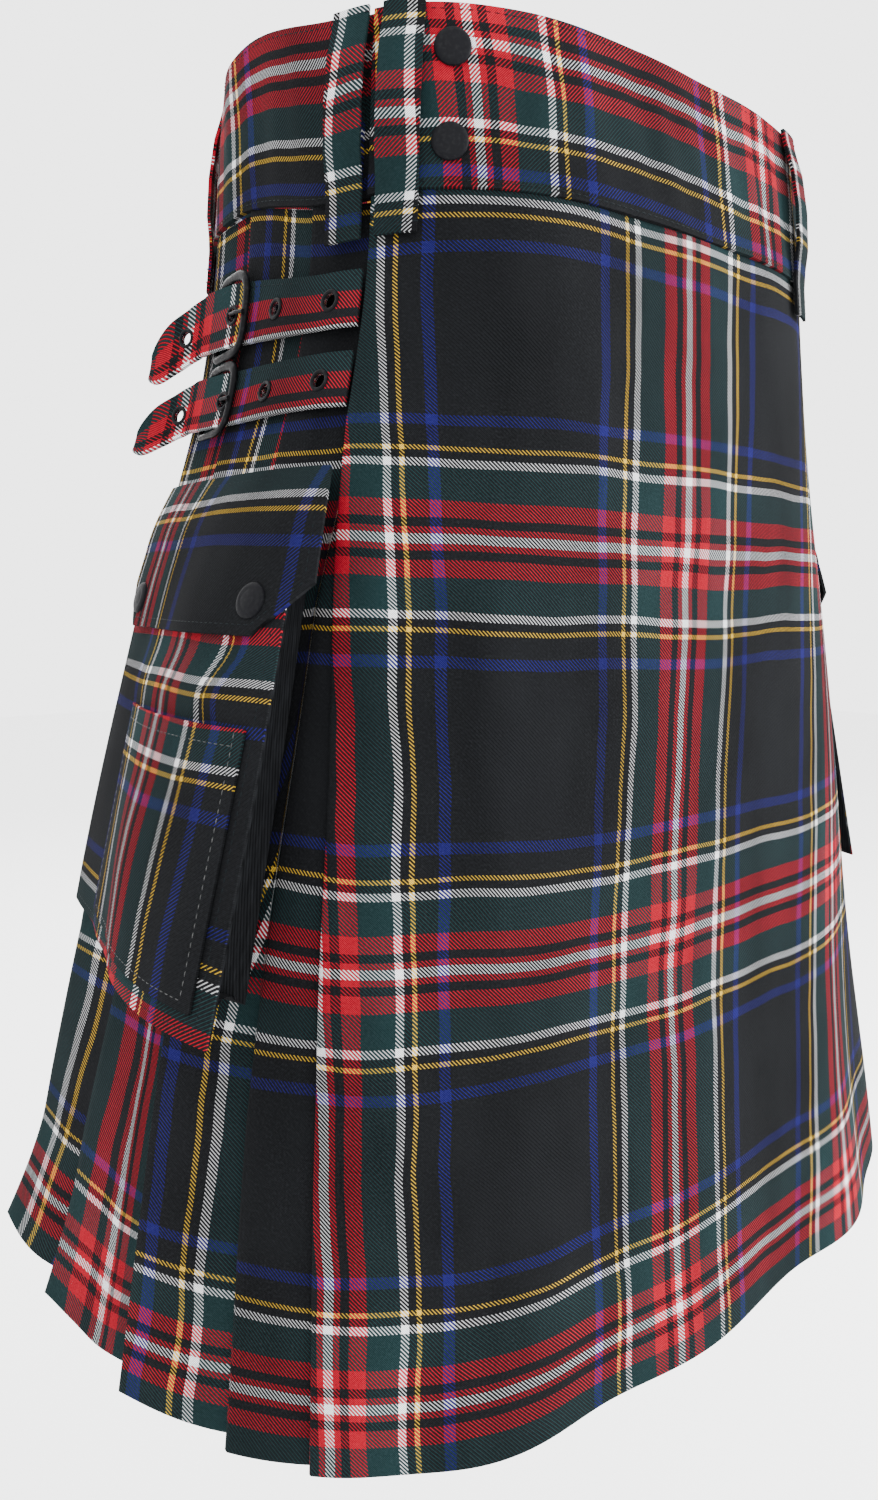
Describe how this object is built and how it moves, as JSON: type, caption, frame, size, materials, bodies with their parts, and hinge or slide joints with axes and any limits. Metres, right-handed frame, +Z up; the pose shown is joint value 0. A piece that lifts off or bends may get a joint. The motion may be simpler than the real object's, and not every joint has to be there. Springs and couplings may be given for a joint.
{
  "type": "utility kilt",
  "caption": "Pleated tartan utility kilt in worn form, with a wrap-over front apron, hip cargo pockets, buckled hip straps and belt loops.",
  "frame": {"origin": "centre of the waist, half way up the waistband, where the garment is held", "axes": "+X to the wearer's left, -Y out of the front apron, +Z up"},
  "size_m": [0.5177, 0.4377, 0.6219],
  "materials": {
    "tartan": "twill woven check of black, dark green, blue, red, white and yellow",
    "tartan_band": "twill woven check",
    "tartan_pocket": "twill woven check",
    "tartan_strap": "twill woven check",
    "strap_tab": "twill",
    "buckle_metal": "satin dark",
    "snap_metal": "matt dark"
  },
  "bodies": {
    "root": {"waistband_apron": "tartan_band", "waistband_back": "tartan_band", "waistband_under": "tartan_band", "outer_apron": "tartan", "under_apron": "tartan", "pleats_right": "tartan", "pleats_left": "tartan", "pocket_right_front": "tartan_pocket", "pocket_right_gusset": "tartan_pocket", "pocket_right_flap": "tartan_pocket", "pocket_right_patch": "tartan_pocket", "snap_flap_right_1": "snap_metal", "snap_flap_right_2": "snap_metal", "pocket_left_front": "tartan_pocket", "pocket_left_gusset": "tartan_pocket", "pocket_left_flap": "tartan_pocket", "pocket_left_patch": "tartan_pocket", "snap_flap_left_1": "snap_metal", "snap_flap_left_2": "snap_metal", "snap_waist_upper": "snap_metal", "strap_upper": "tartan_strap", "eyelet_upper_1": "buckle_metal", "eyelet_upper_2": "buckle_metal", "eyelet_upper_3": "buckle_metal", "eyelet_upper_4": "buckle_metal", "buckle_upper": "buckle_metal", "prong_upper": "buckle_metal", "tab_upper": "strap_tab", "snap_waist_lower": "snap_metal", "strap_lower": "tartan_strap", "eyelet_lower_1": "buckle_metal", "eyelet_lower_2": "buckle_metal", "eyelet_lower_3": "buckle_metal", "eyelet_lower_4": "buckle_metal", "buckle_lower": "buckle_metal", "prong_lower": "buckle_metal", "tab_lower": "strap_tab", "loop_apron": "tartan_band", "loop_right": "tartan_band", "loop_right_back": "tartan_band", "loop_back": "tartan_band", "loop_left_back": "tartan_band", "loop_left": "tartan_band"}
  },
  "joints": []
}
